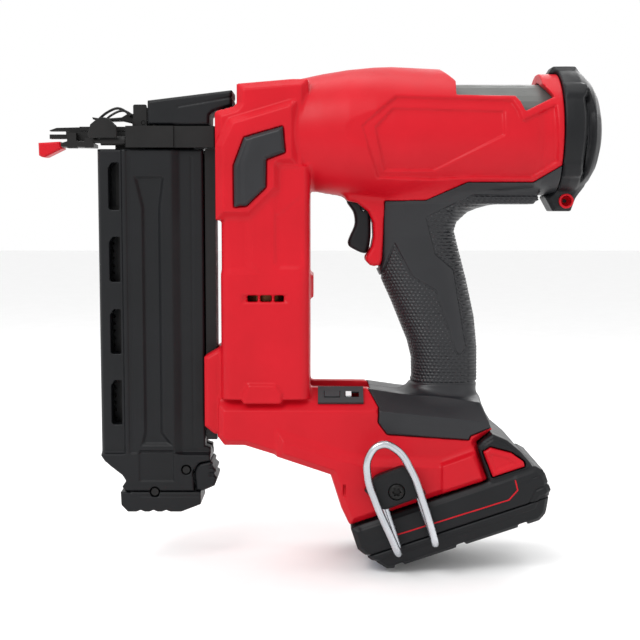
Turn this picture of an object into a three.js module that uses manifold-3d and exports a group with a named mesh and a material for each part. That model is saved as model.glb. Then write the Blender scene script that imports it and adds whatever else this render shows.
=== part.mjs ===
// Cordless 18 gauge brad nailer, in millimetres, +Z up, firing towards -X.
// Shapes are drawn in tool coordinates: X = 0 at the nose tip, Z = 0 on the drive axis, Y = 0 on the
// plane where the two housing halves meet. The whole tool is then moved so that the origin lies in the
// middle of the battery's flat underside.
import * as THREE from 'three';
import { mergeVertices } from 'three/addons/utils/BufferGeometryUtils.js';
import Module from 'manifold-3d';

const wasm = await Module();
wasm.setup();

// Driving dimensions
const GAP = 0.3; // clearance between neighbouring pieces
const WALL = 3; // housing wall
const STROKE = 80; // travel of the piston and driver blade
const BARREL_RADIUS = 37.7;
const CYLINDER_RADIUS = 27.7;
const COVER_HALF = 30; // half width of the front cover
const PAD_HALF = 34; // half width over the raised front panels
const COLUMN_HALF = 31; // half width of the motor column
const ARM_HALF = 32; // half width of the arm and foot
const FOOT_HALF = 36;
const GRIP_HALF = 17; // half width of the handle over its rubber
const MAGAZINE_HALF = 14;
const MOTOR_X = 126; // upright motor axis
const PACK_TILT = 18.5; // degrees that the battery climbs towards the rear
const PACK_HALF = 37.5;
const PACK_HEIGHT = 32; // height of the battery case under the foot
const PACK_ORIGIN = [239.7, -236.7]; // middle of the battery's underside in tool coordinates
const WIRE_RADIUS = 2.15; // belt hook
const TOOTH_PITCH = 10; // teeth of the driver blade, one for each lifter pin
const LIFTER_PINS = 6;
const LIFTER_RADIUS = (TOOTH_PITCH * LIFTER_PINS) / (2 * Math.PI);
const PITCH_LINE = -3; // y of the rack's pitch line on the blade
const NAIL_LENGTH = 46;
const BLADE_TIP = 86; // x of the driver blade's tip, just behind the nail heads
const SLOPE_ANGLE = 42; // the arm's upper edges fall away to each side at this angle

const tool = new THREE.Group();
tool.position.set(-PACK_ORIGIN[0], 0, -PACK_ORIGIN[1]);

// Finishes
const paint = (color, roughness, metalness = 0) =>
  new THREE.MeshStandardMaterial({ color, roughness, metalness });
const redPlastic = paint(0xd01c2c, 0.5);
const blackPlastic = paint(0x2a2c2f, 0.6);
const softRubber = paint(0x232527, 0.8);
const darkSteel = paint(0x2b2622, 0.45, 0.9);
const brightSteel = paint(0xd5d8da, 0.2, 1);
const greyCylinder = paint(0x707370, 0.5, 0.3);
const copper = paint(0xb4693a, 0.4, 0.8);
const greyPlate = paint(0x6d7072, 0.6);

// Solids
const closedSolid = (positions, indices) => new wasm.Manifold(new wasm.Mesh({
  numProp: 3,
  vertProperties: Float32Array.from(positions),
  triVerts: Uint32Array.from(indices),
}));

function solid(geometry) {
  const bare = geometry.clone();
  bare.deleteAttribute('normal');
  bare.deleteAttribute('uv');
  const merged = mergeVertices(bare, 1e-4);
  return closedSolid(merged.attributes.position.array, merged.index.array);
}

function geometryOf(manifold) {
  const mesh = manifold.getMesh();
  const geometry = new THREE.BufferGeometry();
  geometry.setAttribute('position', new THREE.BufferAttribute(Float32Array.from(mesh.vertProperties), 3));
  geometry.setIndex(new THREE.BufferAttribute(Uint32Array.from(mesh.triVerts), 1));
  return geometry;
}

function addNode(name, shape, material, parent = tool) {
  const geometry = shape.getMesh ? geometryOf(shape) : shape;
  const mesh = new THREE.Mesh(geometry, material);
  mesh.name = name;
  parent.add(mesh);
  return mesh;
}

// An outline from corners [across, up, reach]: reach rounds the corner off over that length.
function outline(corners) {
  const shape = new THREE.Shape();
  corners.forEach(([x, y, reach = 0], index) => {
    const corner = new THREE.Vector2(x, y);
    const towards = ([a, b]) => new THREE.Vector2(a, b).sub(corner).setLength(reach).add(corner);
    const enter = towards(corners.at(index - 1));
    const leave = towards(corners[(index + 1) % corners.length]);
    if (index === 0) shape.moveTo(enter.x, enter.y);
    else shape.lineTo(enter.x, enter.y);
    if (reach > 0) shape.quadraticCurveTo(x, y, leave.x, leave.y);
  });
  return shape;
}

// The outline moved outwards by a distance, or inwards where it is negative, with its corners kept.
function offset(points, distance) {
  return points.map((point, index) => {
    const before = point.clone().sub(points.at(index - 1)).normalize();
    const after = points[(index + 1) % points.length].clone().sub(point).normalize();
    const normals = new THREE.Vector2(before.y + after.y, -before.x - after.x);
    const stretch = Math.min(1 / (1 + before.dot(after)), 1.5);
    return point.clone().addScaledVector(normals, distance * stretch);
  });
}

// A prism along Z with rounded-off rims, as stacked rings closed by flat ends. A corner tighter than the
// rim stays sharp.
function prism(corners, zFrom, zTo, bevel, grow) {
  const usable = corners.map(([x, y, reach = 0]) => [x, y, reach > 1.5 * bevel ? reach : 0]);
  let points = outline(usable).getPoints(3);
  points = points.filter((point, index) => point.distanceTo(points.at(index - 1)) > 1e-3);
  if (THREE.ShapeUtils.isClockWise(points)) points.reverse();
  const steps = bevel > 5 ? 3 : 1;
  const rim = [];
  for (let step = bevel > 0 ? 0 : steps; step <= steps; step += 1) {
    const turn = (step / steps) * (Math.PI / 2);
    rim.push([grow - bevel * (1 - Math.sin(turn)), bevel * (1 - Math.cos(turn))]);
  }
  const rings = [
    ...rim.map(([out, rise]) => [offset(points, out), zFrom - grow + rise]),
    ...rim.reverse().map(([out, rise]) => [offset(points, out), zTo + grow - rise]),
  ];
  const count = points.length;
  const positions = rings.flatMap(([ring, z]) => ring.flatMap((point) => [point.x, point.y, z]));
  const ends = [rings[0][0], points]
    .map((contour) => THREE.ShapeUtils.triangulateShape(contour, []))
    .find((triangles) => triangles.length === count - 2);
  const top = (rings.length - 1) * count;
  const indices = ends.flatMap(([a, b, c]) => [c, b, a, top + a, top + b, top + c]);
  for (let ring = 0; ring < rings.length - 1; ring += 1) {
    for (let index = 0; index < count; index += 1) {
      const here = ring * count + index;
      const next = ring * count + ((index + 1) % count);
      indices.push(here, next, next + count, here, next + count, here + count);
    }
  }
  return closedSolid(positions, indices);
}

// Side outlines [x, z] given a thickness in Y; grow swells the solid all round for cutting clearances.
function slab(corners, yFrom, yTo, bevel = 0, grow = 0) {
  return prism(corners, -yTo, -yFrom, bevel, grow).rotate([90, 0, 0]);
}

// Plan outlines [x, y] raised from zFrom to zTo.
const post = (corners, zFrom, zTo, bevel = 0, grow = 0) => prism(corners, zFrom, zTo, bevel, grow);

function box(x0, x1, y0, y1, z0, z1) {
  const geometry = new THREE.BoxGeometry(x1 - x0, y1 - y0, z1 - z0);
  geometry.translate((x0 + x1) / 2, (y0 + y1) / 2, (z0 + z1) / 2);
  return solid(geometry);
}

// A cylinder along x, y or z between two stations; at gives its other two coordinates.
function rod(axis, radius, from, to, at, segments = 24) {
  const geometry = new THREE.CylinderGeometry(radius, radius, to - from, segments);
  const middle = (from + to) / 2;
  if (axis === 'x') geometry.rotateZ(Math.PI / 2).translate(middle, at[0], at[1]);
  if (axis === 'y') geometry.translate(at[0], middle, at[1]);
  if (axis === 'z') geometry.rotateX(Math.PI / 2).translate(at[0], at[1], middle);
  return solid(geometry);
}

// A turned shape about the drive axis from stations [radius, x], moved to y, z.
function turned(stations, segments = 36, y = 0, z = 0) {
  const geometry = new THREE.LatheGeometry(stations.map(([r, x]) => new THREE.Vector2(r, x)), segments);
  geometry.rotateZ(-Math.PI / 2).translate(0, y, z);
  return solid(geometry);
}

function tube(points, radius, steps, sides = 8) {
  const path = new THREE.CatmullRomCurve3(points.map((p) => new THREE.Vector3(...p)), false, 'centripetal');
  const section = new THREE.Shape();
  section.absarc(0, 0, radius, 0, 2 * Math.PI);
  return solid(new THREE.ExtrudeGeometry(section, { steps, extrudePath: path, curveSegments: sides / 2,
    bevelEnabled: false }));
}

const unite = (first, ...rest) => rest.reduce((sum, next) => sum.add(next), first);
const cut = (first, ...rest) => rest.reduce((left, next) => left.subtract(next), first);
const mirrored = (shape) => shape.mirror([0, 1, 0]);
const nearHalf = (shape) => shape.intersect(box(-50, 400, -100, -GAP / 2, -300, 100));
const farHalf = (shape) => shape.intersect(box(-50, 400, GAP / 2, 100, -300, 100));

// A point given along and square to the tilted battery, turned into tool coordinates.
const tiltSin = Math.sin(THREE.MathUtils.degToRad(PACK_TILT));
const tiltCos = Math.cos(THREE.MathUtils.degToRad(PACK_TILT));
const fromPack = (along, up) => [
  PACK_ORIGIN[0] + along * tiltCos - up * tiltSin,
  PACK_ORIGIN[1] + along * tiltSin + up * tiltCos,
];

// Housing: barrel, front cover, motor column, arm and foot, and the handle's inner core
function barrel(grow) {
  return turned([
    [0, 118 - grow], [25 + grow, 118 - grow], [33 + grow, 144], [BARREL_RADIUS + grow, 188],
    [37.2 + grow, 228], [35 + grow, 284], [35 + grow, 294.5 + grow], [0, 294.5 + grow],
  ], 40);
}

function frontCover(grow) {
  const side = [[99.5, 13], [111, 15.5, 2], [112.3, 26, 2], [143, 28.5], [152, 31], [152, -38],
    [137, -50.5, 3],
    [99.5, -50.5, 2]];
  const raised = [[99.8, 9], [107, 9], [143, 18, 3], [147, 15], [147, -20.5, 3], [137, -21], [137, -34, 3],
    [120.5, -50, 3], [99.8, -50, 2]];
  const pad = slab(raised, -PAD_HALF, -COVER_HALF + 4, 3, grow);
  return unite(slab(side, -COVER_HALF, COVER_HALF, 4, grow), pad, mirrored(pad));
}

function column(grow) {
  return post([[100, -COLUMN_HALF, 7], [153, -COLUMN_HALF, 7], [153, COLUMN_HALF, 7],
    [100, COLUMN_HALF, 7]],
    -152, -25, 0, grow);
}

const footFront = fromPack(-56.5, PACK_HEIGHT + GAP);
const footRear = fromPack(26, PACK_HEIGHT + GAP);
const footNotch = fromPack(26, 54.3);
const footLip = fromPack(28, 57);

function arm(grow) {
  const side = [[101, -151.5, 2], [153, -146], [187, -147.5, 2], [193, -157, 2], [238, -160],
    footLip, footNotch,
    footRear, footFront, [171.3, -214.6], [165, -195, 4], [115.5, -178.6], [104, -178.5, 3],
      [100.1, -173.5]];
  const bracket = [[92.2, -128.5], [105.5, -120.8], [110, -120.8], [110, -173.2], [97.7, -173.2],
    [92.2, -168.6]];
  const foot = [[136, -171, 3], [184, -186, 3], [247, -181], footRear, footFront, [171.3, -214.6],
    [165, -195, 4],
    [136, -185.5]];
  const shape = unite(slab(side, -ARM_HALF, ARM_HALF, 4, grow), slab(bracket, -24, 24, 2, grow),
    slab(foot, -FOOT_HALF, FOOT_HALF, 3, grow));
  return cut(shape, armSlope(-1, grow), armSlope(1, grow));
}

// The arm's upper edges slope down to each side; the control plate lies on the near slope.
function armSlope(side, grow) {
  const wedge = box(112, 191, 0, 40, 0, 30).rotate([-SLOPE_ANGLE, 0, 0]).translate([0, 17 + grow,
    -145 + grow]);
  return side > 0 ? wedge : mirrored(wedge);
}

function handle(inset) {
  const side = [[190, -30], [191, -78], [200.2, -97.4], [211, -122], [213.5, -140], [203, -158],
    [262, -172],
    [250.5, -152], [251, -124], [244.5, -85], [236.5, -58], [239, -49], [262, -30]];
  return slab(side, -GRIP_HALF, GRIP_HALF, 7, -inset);
}

const coreInset = 2.6;
const guard = slab([[186, -34], [198, -34], [199, -70], [191.5, -76.5, 2], [187.2, -75, 2], [190.8, -64],
  [190, -46],
  [186, -40]], -10, 10, 1.5);

// Places a shape drawn flat on the arm's near slope, y running up the slope and z out of it.
const onSlope = (shape) => shape.rotate([SLOPE_ANGLE, 0, 0]).translate([0, -17, -145]);

// Battery rails and the space over them in the foot, in battery coordinates
const inPack = (shape) => shape.rotate([0, -PACK_TILT, 0]).translate([PACK_ORIGIN[0], 0, PACK_ORIGIN[1]]);
const packSlot = inPack(box(-38, 30, -25, 25, PACK_HEIGHT - 2, 47));
const footHollow = inPack(box(-46, 21, -26, 26, 46, 61));

const cavities = [
  rod('x', 31.7, 146, 300, [0, 0], 40), // cylinder bore, open to the rear
  box(104, 149, -26, 26, -16, 15), // lifter space
  box(95, 106, -12.2, 12.2, -9.6, 3.6), // nose frame's way out
  post([[104, -26.5, 5], [149, -26.5, 5], [149, 26.5, 5], [104, 26.5, 5]], -146, -10), // motor and gears
  box(118, 139, -40, 40, -96.6, -92), // cooling slots through both sides
  box(130, 205, -12, 12, -166, -140), // wiring way from the column to the foot
  handle(coreInset + WALL).intersect(box(180, 300, -50, 50, -175, -30)),
  box(150, 200, -7.8, 7.8, -76, -36), // trigger slot
  box(239.5, 283, -50, 50, 17.5, 50), // window over the cylinder
  rod('y', 1.7, -12, 12, [184, -43.5], 12), // trigger pin seat
  packSlot,
  footHollow,
  onSlope(box(159.5, 181.5, -13.5, -4.5, -9, 3)), // control board's space
  box(90, 98.8, -8.6, 8.6, -174, -119), // magazine rail's seat in the bracket
];

const housing = cut(unite(barrel(0), frontCover(0), column(0), arm(0), handle(coreInset), guard),
  ...cavities);

addNode('housing_left', nearHalf(housing), redPlastic);
addNode('housing_right', farHalf(housing), redPlastic);

// Rubber overmould of the handle, one half on each housing half
const handleRubber = cut(
  handle(0),
  handle(coreInset - GAP),
  barrel(GAP),
  arm(GAP),
  box(180, 199.4, -20, 20, -77, -20),
  frontCover(GAP),
);
const lowerHandle = box(180, 300, -50, 50, -165, -36);
addNode('grip_left', nearHalf(handleRubber.intersect(lowerHandle)), softRubber);
addNode('grip_right', farHalf(handleRubber.intersect(lowerHandle)), softRubber);

// Rubber bumpers let into the raised front panels
const padOutline = [[110.7, -20.1], [116.6, -4.5], [138, 1.6], [139.2, -12.7], [128.7, -16.6], [128.4, -32],
  [117.6, -42.4], [110.8, -43]];
const sidePad = slab(padOutline, -PAD_HALF - 2.6, -PAD_HALF - GAP);
addNode('side_pad_left', sidePad, softRubber);
addNode('side_pad_right', mirrored(sidePad), softRubber);

// Rear cap with its upper lug and lower screw boss
const capShell = turned([
  [0, 320.2], [20, 319], [26.5, 315.5], [32.8, 310], [36, 306], [36, 295], [30, 295], [30, 309], [0, 311],
].reverse(), 40);
const capLug = slab([[295, 20], [295, 37.5, 2], [306, 37.5, 2], [309, 30], [309, 20]], -9, 9, 2);
const capBoss = slab([[295, -25], [309, -30], [306.5, -37.5, 2], [304, -45.5, 2], [295, -45.5]],
  -11, 11, 2);
const capHollow = rod('x', 30, 294, 309, [0, 0], 40);
const bossHole = rod('y', 4.3, -12, -3, [300.4, -39.4], 16);
addNode('rear_cap', cut(unite(capShell, cut(unite(capLug, capBoss), capHollow)), bossHole), blackPlastic);
addNode('cap_screw', rod('y', 3.7, -10.4, -3.4, [300.4, -39.4], 16), redPlastic);

// Gas-spring drive: cylinder, fill plug, front bumper, piston, seal and toothed blade
addNode('drive_cylinder', turned([
  [CYLINDER_RADIUS - 4, 150], [CYLINDER_RADIUS, 150], [CYLINDER_RADIUS, 290], [7, 290], [7, 286],
  [CYLINDER_RADIUS - 4, 286], [CYLINDER_RADIUS - 4, 150],
], 40), greyCylinder);
addNode('fill_plug', rod('x', 6.6, 286, 295, [0, 0], 16), brightSteel);
addNode('drive_bumper', turned([[9, 160], [23, 160], [21.5, 178], [9, 178], [9, 160]], 32), softRubber);

const pistonFront = 182 + STROKE;
const sealGroove = turned([[20.7, pistonFront + 5.7], [25, pistonFront + 5.7], [25, pistonFront + 10.3],
  [20.7, pistonFront + 10.3], [20.7, pistonFront + 5.7]], 32);
addNode('drive_piston', cut(rod('x', 23.2, pistonFront, pistonFront + 18, [0, 0],
  32), sealGroove), brightSteel);
addNode('piston_seal', turned([[21, pistonFront + 6], [23.4, pistonFront + 6], [23.4, pistonFront + 10],
  [21, pistonFront + 10], [21, pistonFront + 6]], 32), softRubber);

const BLADE_TEETH = 10;
function driverBlade() {
  const end = pistonFront - GAP;
  const teeth = box(BLADE_TIP + 30, end, -4.5, 3, -0.6, 0.6);
  const tip = box(BLADE_TIP, BLADE_TIP + 32, -0.7, 0.7, -0.6, 0.6);
  const notches = [];
  for (let tooth = 0; tooth < BLADE_TEETH; tooth += 1) {
    const x = MOTOR_X + tooth * TOOTH_PITCH;
    notches.push(box(x - 2.4, x + 2.4, -5, -1.2, -1, 1));
  }
  return cut(unite(teeth, tip), ...notches);
}
addNode('driver_blade', driverBlade(), brightSteel);

// Lifter wheel: its pins walk along the blade's teeth to bring the piston back
const lifterAt = [MOTOR_X, PITCH_LINE - LIFTER_RADIUS];
function lifterWheel() {
  let wheel = unite(rod('z', LIFTER_RADIUS + 1.8, -6, -2.4, lifterAt, 32), rod('z', 4, -20, -5.9,
    lifterAt, 16));
  for (let pin = 0; pin < LIFTER_PINS; pin += 1) {
    const angle = Math.PI / 2 + (pin * 2 * Math.PI) / LIFTER_PINS;
    const at = [lifterAt[0] + LIFTER_RADIUS * Math.cos(angle),
      lifterAt[1] + LIFTER_RADIUS * Math.sin(angle)];
    wheel = wheel.add(rod('z', 1.4, -2.5, 1.2, at, 12));
  }
  return wheel;
}
addNode('lifter_wheel', lifterWheel(), darkSteel);
addNode('gear_case', cut(rod('z', 21.8, -60, -13, [MOTOR_X + 0.5, 0],
  32), rod('z', 4.4, -21, -12, lifterAt, 16),
  rod('z', 3, -61, -48, [MOTOR_X + 0.5, 0], 16)), darkSteel);

// Motor
addNode('motor_stator', cut(rod('z', 21.8, -112, -66, [MOTOR_X + 0.5, 0], 32),
  rod('z', 12.6, -113, -65, [MOTOR_X + 0.5, 0], 32)), copper);
addNode('motor_rotor', unite(rod('z', 12, -113, -65, [MOTOR_X + 0.5, 0], 32),
  rod('z', 2.5, -133, -50, [MOTOR_X + 0.5, 0], 12)), darkSteel);
function coolingFan() {
  const at = [MOTOR_X + 0.5, 0];
  let fan = unite(rod('z', 19, -118, -116.5, at, 32), rod('z', 6, -130, -117, at, 16));
  for (let blade = 0; blade < 9; blade += 1) {
    fan = fan.add(box(5, 18.5, -0.7, 0.7, -128, -117).rotate([0, 0, blade * 40]).translate([at[0], at[1],
      0]));
  }
  return cut(fan, rod('z', 2.8, -140, -100, at, 12));
}
addNode('cooling_fan', coolingFan(), blackPlastic);

// Nose: fixed plate with the nail channel, the swinging gate over it, and the jam-clearing latch
const hingeAt = [57.5, 5.2];
const latchAt = [53, 7.2];
const railRodAt = [-10.5, -5]; // y and z of the contact arm's rod
function nosePlate() {
  const frame = unite(box(58, 98, -14, 14, -9, 3.2), box(58, 112, -11.5, 11.5, -9, 3.2));
  const cheek = unite(box(47.8, 75, -15.4, -14.7, -9, 3.2), box(58.2, 75, -15, -13.9, -9, 3.2));
  const snout = slab([[12, -3.4], [15, -4.6], [60, -4.6], [60, 0.7], [12, 0.7]], -5.8, 5.8);
  const prong = box(1.8, 13, -2.6, 2.6, -3.4, -0.9);
  const lug = slab([[55, 2], [59.4, 2], [59.4, 15.5, 1], [51.8, 15.5, 1], [51.8, 6]], -11.4, -9.4);
  const standoff = rod('y', 1.6, -14.9, -5.6, [29.6, -1.2], 12);
  const sidePlate = slab([[26.3, -2], [28, 4], [33, 8, 2], [38, 7.8, 2], [43, 3], [43, -3.6],
    [27, -3.6]], -16.4, -14.8, 0.4);
  return cut(
    unite(frame, cheek, snout, prong, lug, mirrored(lug), sidePlate, standoff),
    box(0, 120, -5, 3.6, -0.9, 0.98), // blade channel
    box(33, BLADE_TIP + 0.6, -0.95, 0.95, -20, 2), // nail slot
    rod('y', 3, -6.9, 6.9, hingeAt, 16),
    rod('y', 1.3, -20, 20, hingeAt, 12),
    rod('x', 1.9, 57, 86, railRodAt, 12),
  );
}
addNode('nose_plate', nosePlate(), darkSteel);
function noseGate() {
  const prong = slab([[1.9, 0.98], [1.9, 1.5], [6, 2.9], [24, 3.3], [24, 0.98]], -2.6, 2.6);
  const plate = box(20, 57, -6.4, 6.4, 0.98, 3.3);
  const lug = slab([[50.5, 2], [55, 2], [55, 8, 1], [53, 9.4, 1], [50.5, 8, 1]], -6.4, -5);
  return cut(unite(prong, plate, rod('y', 2.4, -6.6, 6.6, hingeAt, 16), box(54, 58, -6.4, 6.4, 1, 4),
    lug, mirrored(lug)),
    rod('y', 1.3, -20, 20, hingeAt, 12), rod('y', 1.2, -20, 20, latchAt, 12));
}
addNode('nose_gate', noseGate(), darkSteel);
addNode('gate_pin', rod('y', 1, -11.2, 11.2, hingeAt, 12), brightSteel);
addNode('latch_pin', rod('y', 0.9, -6.4, 6.4, latchAt, 12), brightSteel);
addNode('latch_lever', cut(slab([[27, 8.9], [33, 8], [44, 8.8], [48, 11.2, 1], [51, 10.8, 1],
  [54.6, 8.6, 1],
  [55, 6.6, 1], [53, 5], [50, 5.4], [44, 6.8], [33, 6.4], [27.3, 7.7]], -4.5, 4.5, 0.5),
  rod('y', 1.2, -20, 20, latchAt, 12)), darkSteel);
const bailEnd = [49.6, 9.4];
const bailSide = (y) =>
  [[bailEnd[0], y * 0.6, bailEnd[1]], [bailEnd[0], y * 0.93, bailEnd[1]], [47, y, 11.8], [42.6, y, 13.6],
  [36, y, 11], [29.4, y * 0.95, 5.2]];
addNode('bail_wire', tube([...bailSide(-8.2), [28.6, 0, 4.9], ...bailSide(8.2).reverse()],
  0.75, 44, 6), brightSteel);

// Contact arm with the red no-mar tip; it slides back on its rod against the spring when pressed on the work

addNode('no_mar_tip', slab([[-4.2, -5.9, 1], [8.3, -5.2, 1], [9.7, -9.2, 1], [-1.6, -14.7, 2],
  [-4, -13]], -6, 6, 1), redPlastic);
addNode('contact_arm', unite(
  slab([[10.1, -6.4], [14, -5.2], [26, -5.2], [29, -6.8], [29, -8.8], [18, -8.6], [10.1, -8.4]],
    -12, 3, 0.4),
  box(13.8, 19, -12, -6.2, -9.2, -0.5),
  rod('x', 1.5, 26, 76, railRodAt, 12), box(24, 29, -12, -9, -9, -3.4)), darkSteel);
addNode('depth_wheel', cut(rod('x', 2.7, 33, 47, railRodAt, 20), rod('x', 1.7, 30, 50, railRodAt, 12)),
  blackPlastic);
addNode('contact_spring', turned([[1.9, 47.4], [3.2, 47.4], [3.2, 57.6], [1.9, 57.6], [1.9, 47.4]],
  12, ...railRodAt), brightSteel);

// Black cover over the nose frame
addNode('top_shield', cut(
  slab([[60.2, 3.9], [60.2, 17.5, 1], [111, 24.6], [111, 16.4], [98.9, 13.8], [98.9, 3.9]], -15, 15, 1.5)
    .subtract(frontCover(GAP)),
  slab([[62, 0], [62, 14.5], [97, 18.5], [97, 0]], -12.6, 12.6),
), blackPlastic);

// Magazine: fixed rail, nails, and the sliding cover with its pusher, foot and release
addNode('magazine_rail', unite(box(92.2, 98.2, -8, 8, -179, -9.6), box(40, 93, 1.2, 3, -172, -12)),
  darkSteel);
addNode('nail_strip', box(BLADE_TIP - 0.5 - NAIL_LENGTH, BLADE_TIP - 0.5, -0.6, 0.6, -42, -1.2),
  brightSteel);
function magazineCover() {
  const body = post([[30.5, -MAGAZINE_HALF, 3], [91.4, -MAGAZINE_HALF, 2], [91.4, MAGAZINE_HALF, 2],
    [30.5, MAGAZINE_HALF, 3]], -189, -9.5);
  const slots = [-30.5, -72.5, -115, -157].map((z) => box(38.4, 43, -20, 0, z - 13, z + 13));
  return cut(body, box(32.5, 100, -1.7, 3.4, -186, 0), ...slots);
}
addNode('magazine_cover', magazineCover(), blackPlastic);
const footScrews = [[62, -209], [80.5, -196]];
addNode('magazine_foot', cut(
  slab([[31, -189.4], [32.5, -191], [43, -199.6], [45, -203], [42.3, -207, 1], [42.3, -216.8],
    [45.4, -221, 1],
    [77.3, -221, 1], [89, -216.8], [89, -209], [84.8, -209], [84.8, -189.4]], -15, 15, 1.5),
  ...footScrews.map((at) => rod('y', 2.6, -16, -6, at, 12)),
), blackPlastic);
footScrews.forEach((at, index) => addNode(`foot_screw_${index + 1}`, rod('y', 2.2, -14, -6.4, at, 12),
  darkSteel));
addNode('magazine_release', slab([[92.2, -182], [94.5, -182], [98.3, -195, 3], [98.3, -203, 2],
  [95.5, -208.4],
  [88, -208.4], [88, -190], [92.2, -190]], -13, 13, 1), blackPlastic);
addNode('nail_pusher', box(34, 88, -1.3, 0.8, -55, -42.4), darkSteel);
const springAt = [36, 0.85];
addNode('pusher_spring', cut(rod('z', 2.1, -185, -55.4, springAt, 10), rod('z', 1.4, -190, -50, springAt,
  10)), brightSteel);

// Trigger with its pin, spring and switch
const triggerAt = [184, -43.5];
addNode('trigger', cut(slab([[174.3, -39.2, 1], [178.6, -49, 4], [175.2, -62.6, 2], [177.4, -66.4, 2],
  [185.6, -69.6, 1],
  [189, -57.3, 4], [187.6, -46], [188, -39.2, 1]], -7.2, 7.2, 1.2), rod('y', 1.7, -20, 20, triggerAt,
    12)), blackPlastic);
addNode('trigger_pin', rod('y', 1.4, -9.6, 9.6, triggerAt, 12), brightSteel);
addNode('trigger_switch', box(203, 220, -6.8, 6.8, -80, -52), blackPlastic);
addNode('trigger_spring', turned([[2, 189.6], [3, 189.6], [3, 202.6], [2, 202.6], [2, 189.6]],
  12, 0, -58), brightSteel);

// Controls on the near slope of the arm
const modeButtonX = 165.6;
const switchSlotX = 177;
addNode('control_plate', onSlope(cut(box(157.5, 183.5, -15, -3, 0.3, 1.8), box(161, 170.2, -11.4, -6.4,
  0, 3),
  box(173, 181, -11, -7, 0, 3))), greyPlate);
addNode('mode_button', onSlope(box(modeButtonX - 4.3, modeButtonX + 4.3, -11, -6.8, -2, 2.4)), greyPlate);
addNode('slide_switch', onSlope(box(switchSlotX - 3.6, switchSlotX - 0.4, -10.6, -7.4, -2, 2.6)),
  greyPlate);
addNode('control_board', onSlope(box(160, 181, -13, -5, -7, -5.4)), paint(0x1f6b3a, 0.5));

// Belt hook: one bent wire held to the foot by a bracket and a screw
const innerY = -40.5;
const outerY = -50;
const hookPath = [[194, innerY, -206], [196.5, innerY, -215], [201.6, innerY, -231], [203, -42, -236.5],
  [202, -48.6, -235],
  [199.5, outerY, -229], [189.5, outerY, -206], [185.2, outerY, -192], [186, outerY, -180.5],
    [192.5, outerY, -174.3],
  [201, outerY, -177], [209.5, outerY, -189], [216, outerY, -206], [221.5, outerY, -224],
    [223, -48.6, -230],
  [223, -42, -230], [221, innerY, -224], [216, innerY, -210], [213, innerY, -199]];
addNode('belt_hook', tube(hookPath, WIRE_RADIUS, 48), brightSteel);
const hookScrewAt = [201.7, -202.2];
addNode('hook_bracket', cut(
  slab([[183.8, -202, 1], [189.5, -193.9, 2], [205.7, -187.7, 2], [219, -204, 2], [194.6, -213, 2]],
    -44, -FOOT_HALF - GAP, 1.2),
  tube(hookPath, WIRE_RADIUS + GAP, 48),
  rod('y', 4.9, -50, -30, hookScrewAt, 16),
), blackPlastic);
addNode('hook_screw', rod('y', 4.5, -45, -FOOT_HALF - GAP, hookScrewAt, 16), darkSteel);

// Battery, drawn along its own tilted axes: x along the pack, z up from its underside
const pack = new THREE.Group();
pack.position.set(PACK_ORIGIN[0], 0, PACK_ORIGIN[1]);
pack.rotation.y = -THREE.MathUtils.degToRad(PACK_TILT);
tool.add(pack);
const CASE_SPLIT = 13;
const cellHollow = box(-52, 52, -34, 34, 3, 29);
addNode('pack_case', cut(slab([[-56.7, CASE_SPLIT], [-56.7, 12], [-49, 5], [-45, 0, 1], [47, 0, 1],
  [53.5, 4], [58.5, CASE_SPLIT]],
  -PACK_HALF, PACK_HALF, 2).intersect(box(-80, 80, -50, 50, -1, CASE_SPLIT - GAP)), cellHollow),
    blackPlastic, pack);
const buttonOutline = [[29, 33.8, 1], [28.4, 50, 1], [33, 50.6, 2], [44, 43.5, 2], [48.5, 37, 2],
  [48, 33.8]];
const packButton = slab(buttonOutline, -PACK_HALF + 0.1, -31.5, 1);
const buttonPocket = slab(buttonOutline, -PACK_HALF - 2, -27.8, 0, GAP + 0.1);
function packCover() {
  const upper = slab([[-56.7, CASE_SPLIT], [-56.7, 28, 2], [-54, PACK_HEIGHT, 2], [55.8, PACK_HEIGHT, 2],
    [58.5, 27, 2],
    [58.5, CASE_SPLIT]], -PACK_HALF, PACK_HALF, 1.5).intersect(box(-80, 80, -50, 50, CASE_SPLIT, 99));
  const hump = slab([[26.5, 30], [26.5, 53, 2], [37, 56.5, 3], [46, 50, 4], [51.5, 40, 3], [52.5, 30]],
    -PACK_HALF + 1, PACK_HALF - 1, 2);
  const head = box(-36, 30, -24, 24, 30, 46);
  const slots = [-16, -8, 8, 16].map((y) => box(-40, 10, y - 1, y + 1, 37, 60));
  const rails = [-1, 1].map((side) => box(-40, 26.4, side * 24 - 4, side * 24 + 4, 32, 37));
  return cut(unite(upper, hump, head), cellHollow, buttonPocket, mirrored(buttonPocket), ...slots,
    ...rails);
}
addNode('pack_cover', packCover(), blackPlastic, pack);
addNode('pack_button_left', packButton, redPlastic, pack);
addNode('pack_button_right', mirrored(packButton), redPlastic, pack);
function cellBlock() {
  let block = box(-48, 48, -31, 31, 14, 18);
  for (let cell = -2; cell <= 2; cell += 1) block = block.add(rod('y', 9.2, -32.5, 32.5, [cell * 19.6,
    16], 16));
  return block;
}
addNode('cell_block', cellBlock(), paint(0x3a6ea5, 0.4), pack);
const contacts = [-16, -8, 8, 16].map((y) => box(-14, 8, y - 0.4, y + 0.4, 38, 50));
addNode('terminal_block', unite(box(-18, 12, -20, 20, 47.6, 56), ...contacts), blackPlastic, pack);

export default tool;
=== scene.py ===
"""The looks of the brad nailer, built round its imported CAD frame.

Shapes are drawn in tool coordinates, in millimetres: x = 0 at the nose tip, z = 0 on the drive axis and
y = 0 where the two housing halves meet. The moulded pieces are distance fields, sampled on a grid and
turned into a mesh, because their facets, fillets and grooves blend into each other.
"""
import math

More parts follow.
